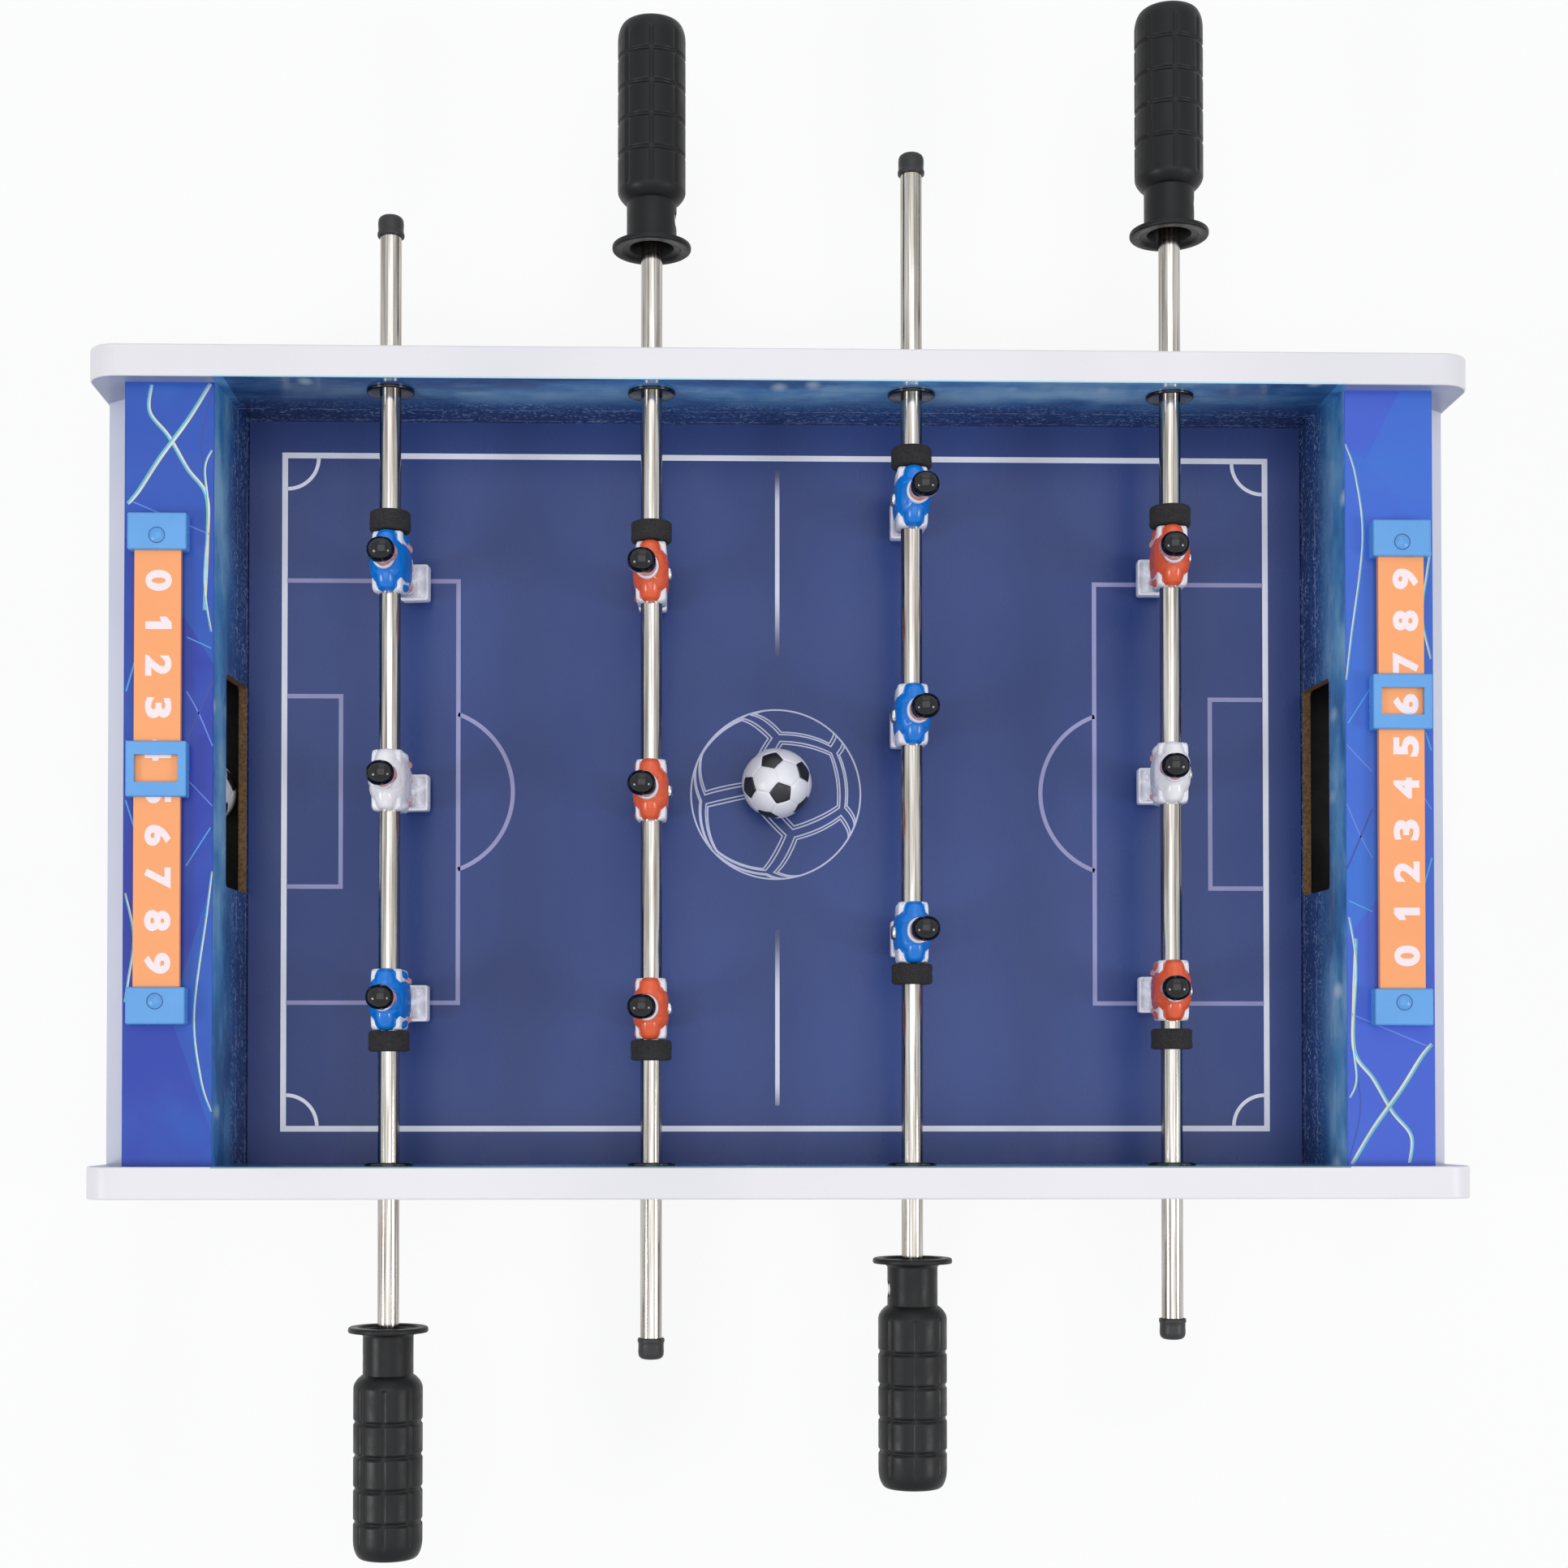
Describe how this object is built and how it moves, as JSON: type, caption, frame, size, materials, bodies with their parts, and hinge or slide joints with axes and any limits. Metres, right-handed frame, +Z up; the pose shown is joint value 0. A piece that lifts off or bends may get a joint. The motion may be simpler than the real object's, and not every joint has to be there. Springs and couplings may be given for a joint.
{
  "type": "tabletop foosball game",
  "caption": "Shallow tabletop football box with sliding, turning player rods, goals with ball returns and slide scorers on the end rails.",
  "frame": {"origin": "middle of the footprint, handles included, at the underside of the rubber feet", "axes": "+X from the left goal to the right goal, +Y along the rods, +Z up"},
  "size_m": [0.51, 0.5772, 0.0983],
  "materials": {
    "white_laminate": "satin white laminate on fibreboard",
    "blue_print": "satin printed foil on fibreboard",
    "wall_print": "semi-gloss printed foil on fibreboard",
    "field_print": "semi-gloss printed playing surface",
    "raw_board": "bare brown fibreboard",
    "rod_steel": "polished plated steel tube",
    "screw_steel": "zinc plated",
    "black_plastic": "satin black moulded plastic",
    "bushing_plastic": "smooth black plastic",
    "foam_rubber": "matt black sponge rubber",
    "cap_rubber": "black rubber",
    "foot_rubber": "black rubber",
    "orange_plastic": "orange score bar with white digits",
    "scorer_blue": "light blue moulded plastic",
    "player_blue": "glossy painted plastic, blue shirt",
    "player_orange": "glossy painted plastic, orange shirt",
    "player_white": "glossy painted plastic, white shirt",
    "ball_plastic": "white with black pentagons"
  },
  "bodies": {
    "table": {"base_board": "raw_board", "cabinet_screws": "screw_steel", "clip_plugs": "scorer_blue", "end_board_left": "white_laminate", "end_board_right": "white_laminate", "end_wall_left": "wall_print", "end_wall_right": "wall_print", "field_battens": "raw_board", "goal_tray_left": "raw_board", "goal_tray_right": "raw_board", "playfield_board": "field_print", "rail_apron_left": "raw_board", "rail_apron_right": "raw_board", "rod_bushings_back": "bushing_plastic", "rod_bushings_front": "bushing_plastic", "rubber_feet": "foot_rubber", "score_bar_left": "orange_plastic", "score_bar_right": "orange_plastic", "score_clips": "scorer_blue", "side_panel_back": "white_laminate", "side_panel_front": "white_laminate", "top_rail_left": "blue_print", "top_rail_right": "blue_print"},
    "match_ball": {"match_ball": "ball_plastic"},
    "pocket_ball": {"pocket_ball": "ball_plastic"},
    "score_slider_left": {"score_slider_left": "scorer_blue"},
    "score_slider_right": {"score_slider_right": "scorer_blue"},
    "rod_1_bumpers": {"rod_1_bumpers": "foam_rubber"},
    "rod_1": {"rod_1_end_cap": "cap_rubber", "rod_1_handle": "black_plastic", "rod_1_player_1": "player_blue", "rod_1_player_2": "player_white", "rod_1_player_3": "player_blue", "rod_1_screws": "screw_steel", "rod_1_tube": "rod_steel"},
    "rod_2_bumpers": {"rod_2_bumpers": "foam_rubber"},
    "rod_2": {"rod_2_end_cap": "cap_rubber", "rod_2_handle": "black_plastic", "rod_2_player_1": "player_orange", "rod_2_player_2": "player_orange", "rod_2_player_3": "player_orange", "rod_2_screws": "screw_steel", "rod_2_tube": "rod_steel"},
    "rod_3_bumpers": {"rod_3_bumpers": "foam_rubber"},
    "rod_3": {"rod_3_end_cap": "cap_rubber", "rod_3_handle": "black_plastic", "rod_3_player_1": "player_blue", "rod_3_player_2": "player_blue", "rod_3_player_3": "player_blue", "rod_3_screws": "screw_steel", "rod_3_tube": "rod_steel"},
    "rod_4_bumpers": {"rod_4_bumpers": "foam_rubber"},
    "rod_4": {"rod_4_end_cap": "cap_rubber", "rod_4_handle": "black_plastic", "rod_4_player_1": "player_orange", "rod_4_player_2": "player_white", "rod_4_player_3": "player_orange", "rod_4_screws": "screw_steel", "rod_4_tube": "rod_steel"}
  },
  "joints": [
    {"name": "rod_1_slide", "type": "slide", "parent": "table", "child": "rod_1_bumpers", "axis": [0, 1, 0], "range_m": [-0.0407, 0.0439]},
    {"name": "rod_1_spin", "type": "hinge", "parent": "rod_1_bumpers", "child": "rod_1", "pos_m": [-0.1455, 0, 0.071], "axis": [0, 1, 0], "continuous": true},
    {"name": "rod_2_slide", "type": "slide", "parent": "table", "child": "rod_2_bumpers", "axis": [0, 1, 0], "range_m": [-0.0374, 0.0472]},
    {"name": "rod_2_spin", "type": "hinge", "parent": "rod_2_bumpers", "child": "rod_2", "pos_m": [-0.0485, 0, 0.071], "axis": [0, 1, 0], "continuous": true},
    {"name": "rod_3_slide", "type": "slide", "parent": "table", "child": "rod_3_bumpers", "axis": [0, 1, 0], "range_m": [-0.0658, 0.0188]},
    {"name": "rod_3_spin", "type": "hinge", "parent": "rod_3_bumpers", "child": "rod_3", "pos_m": [0.0485, 0, 0.071], "axis": [0, 1, 0], "continuous": true},
    {"name": "rod_4_slide", "type": "slide", "parent": "table", "child": "rod_4_bumpers", "axis": [0, 1, 0], "range_m": [-0.0417, 0.0403]},
    {"name": "rod_4_spin", "type": "hinge", "parent": "rod_4_bumpers", "child": "rod_4", "pos_m": [0.1455, 0, 0.071], "axis": [0, 1, 0], "continuous": true},
    {"name": "score_slider_left_slide", "type": "slide", "parent": "table", "child": "score_slider_left", "axis": [0, 1, 0], "range_m": [-0.06905, 0.06965]},
    {"name": "score_slider_right_slide", "type": "slide", "parent": "table", "child": "score_slider_right", "axis": [0, 1, 0], "range_m": [-0.09545, 0.04325]},
    {"name": "match_ball_roll", "type": "slide", "parent": "table", "child": "match_ball", "axis": [0, 1, 0], "range_m": [-0.1315, 0.1275]},
    {"name": "pocket_ball_out", "type": "slide", "parent": "table", "child": "pocket_ball", "axis": [-1, 0, 0], "range_m": [0, 0.046]}
  ]
}
